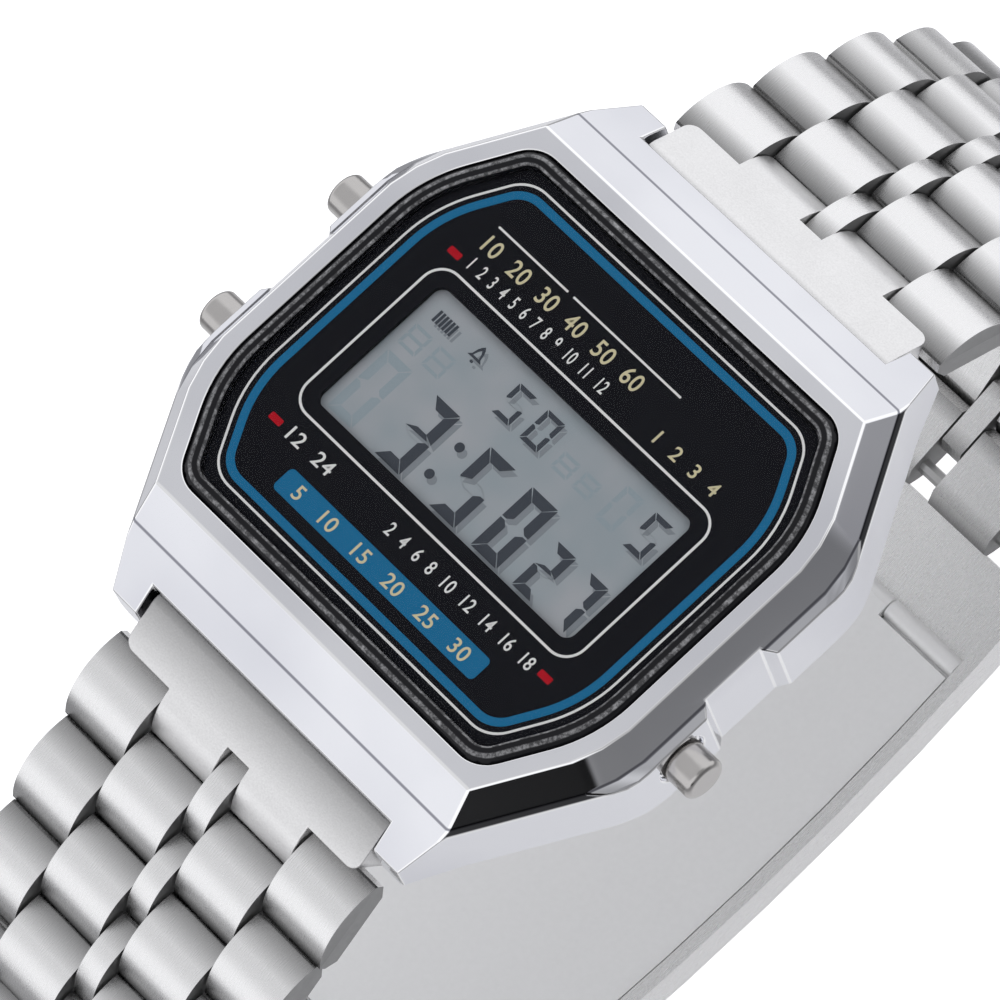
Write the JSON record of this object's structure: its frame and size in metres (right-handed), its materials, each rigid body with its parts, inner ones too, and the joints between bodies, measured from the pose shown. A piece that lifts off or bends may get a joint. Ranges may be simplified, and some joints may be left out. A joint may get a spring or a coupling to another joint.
{
  "type": "digital wristwatch",
  "caption": "Digital wristwatch with a chromed eight-sided case, liquid crystal display, side buttons, steel link bracelet and fold-over clasp.",
  "frame": {"origin": "centre of the case back's outer face", "axes": "+Z out of the dial, +Y towards 12 o'clock, +X towards 3 o'clock"},
  "size_m": [0.0374, 0.0783, 0.0476],
  "materials": {
    "case_chrome": "polished",
    "rim_black": "gloss, worn edge",
    "glass": "clear",
    "face_print": "printed, gloss",
    "lcd": "grey, reflecting",
    "guide_clear": "clear",
    "lamp_glass": "clear",
    "zebra": "matt",
    "module_plastic": "matt",
    "board": "satin",
    "chip_black": "matt",
    "small_steel": "satin",
    "battery_steel": "satin",
    "piezo_brass": "satin",
    "back_steel": "brushed",
    "gasket": "matt",
    "button_steel": "satin",
    "end_link_steel": "fine blasted",
    "link_steel": "brushed along the strap",
    "clasp_steel": "brushed",
    "blade_steel": "satin"
  },
  "bodies": {
    "case": {"case_shell": "case_chrome", "glass_rim": "rim_black", "glass": "glass", "face_plate": "face_print", "lcd_panel": "lcd", "light_guide": "guide_clear", "lamp": "lamp_glass", "zebra_strips": "zebra", "module_frame": "module_plastic", "circuit_board": "board", "chip_cap": "chip_black", "quartz_can": "small_steel", "button_contacts": "small_steel", "module_back": "module_plastic", "battery": "battery_steel", "battery_contact": "small_steel", "battery_clip": "small_steel", "piezo_disc": "piezo_brass", "piezo_spring": "small_steel", "case_back": "back_steel", "back_gasket": "gasket", "back_screws": "small_steel", "button_seals": "gasket", "spring_bar_top": "small_steel", "spring_bar_bottom": "small_steel", "light_spring": "small_steel", "mode_spring": "small_steel", "start_spring": "small_steel"},
    "light_button": {"light_button": "button_steel"},
    "mode_button": {"mode_button": "button_steel"},
    "start_button": {"start_button": "button_steel"},
    "end_link_top": {"end_link_top": "end_link_steel"},
    "links_top_1": {"links_top_1": "link_steel"},
    "links_top_2": {"links_top_2": "link_steel"},
    "links_top_3": {"links_top_3": "link_steel"},
    "links_top_4": {"links_top_4": "link_steel"},
    "links_top_5": {"links_top_5": "link_steel"},
    "links_top_6": {"links_top_6": "link_steel"},
    "links_top_7": {"links_top_7": "link_steel"},
    "links_top_8": {"links_top_8": "link_steel"},
    "links_top_9": {"links_top_9": "link_steel", "clasp_bar": "small_steel"},
    "end_link_bottom": {"end_link_bottom": "end_link_steel"},
    "links_bottom_1": {"links_bottom_1": "link_steel"},
    "links_bottom_2": {"links_bottom_2": "link_steel"},
    "links_bottom_3": {"links_bottom_3": "link_steel"},
    "links_bottom_4": {"links_bottom_4": "link_steel"},
    "links_bottom_5": {"links_bottom_5": "link_steel"},
    "links_bottom_6": {"links_bottom_6": "link_steel"},
    "links_bottom_7": {"links_bottom_7": "link_steel"},
    "links_bottom_8": {"links_bottom_8": "link_steel"},
    "links_bottom_9": {"links_bottom_9": "link_steel"},
    "links_bottom_10": {"links_bottom_10": "link_steel"},
    "clasp_blade_inner": {"clasp_blade_inner": "blade_steel"},
    "clasp_blade_middle": {"clasp_blade_middle": "blade_steel"},
    "clasp_cover": {"clasp_cover": "clasp_steel"}
  },
  "joints": [
    {"name": "light_press", "type": "slide", "parent": "case", "child": "light_button", "axis": [1, 0, 0], "range_m": [0, 0.0007], "stiffness_N_per_m": 1500, "springref_m": -0.0004, "deforming": ["light_spring"]},
    {"name": "mode_press", "type": "slide", "parent": "case", "child": "mode_button", "axis": [1, 0, 0], "range_m": [0, 0.0007], "stiffness_N_per_m": 1500, "springref_m": -0.0004, "deforming": ["mode_spring"]},
    {"name": "start_press", "type": "slide", "parent": "case", "child": "start_button", "axis": [-1, 0, 0], "range_m": [0, 0.0007], "stiffness_N_per_m": 1500, "springref_m": -0.0004, "deforming": ["start_spring"]},
    {"name": "end_link_top_turn", "type": "hinge", "parent": "case", "child": "end_link_top", "pos_m": [0, 0.0172, 0.0024], "axis": [-1, 0, 0], "range_deg": [-18, 40]},
    {"name": "links_top_1_turn", "type": "hinge", "parent": "end_link_top", "child": "links_top_1", "pos_m": [0, 0.02037, 0.00108], "axis": [1, 0, 0], "range_deg": [-45, 5]},
    {"name": "links_top_2_turn", "type": "hinge", "parent": "links_top_1", "child": "links_top_2", "pos_m": [0, 0.02502, -0.00171], "axis": [-1, 0, 0], "range_deg": [-11, 39]},
    {"name": "links_top_3_turn", "type": "hinge", "parent": "links_top_2", "child": "links_top_3", "pos_m": [0, 0.02935, -0.00498], "axis": [1, 0, 0], "range_deg": [-34, 16]},
    {"name": "links_top_4_turn", "type": "hinge", "parent": "links_top_3", "child": "links_top_4", "pos_m": [0, 0.03297, -0.009], "axis": [-1, 0, 0], "range_deg": [-20, 30]},
    {"name": "links_top_5_turn", "type": "hinge", "parent": "links_top_4", "child": "links_top_5", "pos_m": [0, 0.03543, -0.01383], "axis": [1, 0, 0], "range_deg": [-25, 25]},
    {"name": "links_top_6_turn", "type": "hinge", "parent": "links_top_5", "child": "links_top_6", "pos_m": [0, 0.03609, -0.01921], "axis": [-1, 0, 0], "range_deg": [-26, 24]},
    {"name": "links_top_7_turn", "type": "hinge", "parent": "links_top_6", "child": "links_top_7", "pos_m": [0, 0.03478, -0.02447], "axis": [1, 0, 0], "range_deg": [-24, 26]},
    {"name": "links_top_8_turn", "type": "hinge", "parent": "links_top_7", "child": "links_top_8", "pos_m": [0, 0.03167, -0.02891], "axis": [-1, 0, 0], "range_deg": [-26, 24]},
    {"name": "links_top_9_turn", "type": "hinge", "parent": "links_top_8", "child": "links_top_9", "pos_m": [0, 0.02718, -0.03194], "axis": [1, 0, 0], "range_deg": [-26, 24]},
    {"name": "end_link_bottom_turn", "type": "hinge", "parent": "case", "child": "end_link_bottom", "pos_m": [0, -0.0172, 0.0024], "axis": [1, 0, 0], "range_deg": [-18, 0]},
    {"name": "links_bottom_1_turn", "type": "hinge", "parent": "end_link_bottom", "child": "links_bottom_1", "pos_m": [0, -0.02037, 0.00108], "axis": [-1, 0, 0], "range_deg": [0, 4]},
    {"name": "links_bottom_2_turn", "type": "hinge", "parent": "links_bottom_1", "child": "links_bottom_2", "pos_m": [0, -0.02507, -0.00163], "axis": [1, 0, 0], "range_deg": [-6, 0]},
    {"name": "links_bottom_3_turn", "type": "hinge", "parent": "links_bottom_2", "child": "links_bottom_3", "pos_m": [0, -0.02971, -0.00442], "axis": [-1, 0, 0], "range_deg": [0, 9]},
    {"name": "links_bottom_4_turn", "type": "hinge", "parent": "links_bottom_3", "child": "links_bottom_4", "pos_m": [0, -0.03415, -0.00753], "axis": [1, 0, 0], "range_deg": [-19, 0]},
    {"name": "links_bottom_5_turn", "type": "hinge", "parent": "links_bottom_4", "child": "links_bottom_5", "pos_m": [0, -0.03771, -0.01162], "axis": [-1, 0, 0], "range_deg": [0, 25]},
    {"name": "links_bottom_6_turn", "type": "hinge", "parent": "links_bottom_5", "child": "links_bottom_6", "pos_m": [0, -0.03965, -0.01668], "axis": [1, 0, 0], "range_deg": [-26, 0]},
    {"name": "links_bottom_7_turn", "type": "hinge", "parent": "links_bottom_6", "child": "links_bottom_7", "pos_m": [0, -0.03965, -0.0221], "axis": [-1, 0, 0], "range_deg": [0, 26]},
    {"name": "links_bottom_8_turn", "type": "hinge", "parent": "links_bottom_7", "child": "links_bottom_8", "pos_m": [0, -0.03771, -0.02716], "axis": [1, 0, 0], "range_deg": [-26, 0]},
    {"name": "links_bottom_9_turn", "type": "hinge", "parent": "links_bottom_8", "child": "links_bottom_9", "pos_m": [0, -0.03408, -0.03119], "axis": [-1, 0, 0], "range_deg": [0, 25]},
    {"name": "links_bottom_10_turn", "type": "hinge", "parent": "links_bottom_9", "child": "links_bottom_10", "pos_m": [0, -0.0293, -0.03374], "axis": [1, 0, 0], "range_deg": [-23, 0]},
    {"name": "clasp_end_turn", "type": "hinge", "parent": "links_bottom_10", "child": "clasp_blade_inner", "pos_m": [0, -0.02396, -0.03468], "axis": [-1, 0, 0], "range_deg": [0, 45]},
    {"name": "clasp_fold", "type": "hinge", "parent": "clasp_blade_inner", "child": "clasp_blade_middle", "pos_m": [0, 0.0153, -0.03561], "axis": [1, 0, 0], "range_deg": [0, 150]},
    {"name": "clasp_cover_turn", "type": "hinge", "parent": "clasp_blade_middle", "child": "clasp_cover", "pos_m": [0, -0.0215, -0.03601], "axis": [-1, 0, 0], "range_deg": [0, 150]}
  ],
  "couplings": [
    {"joint": "clasp_cover_turn", "follows": "clasp_fold", "ratio": 1}
  ]
}
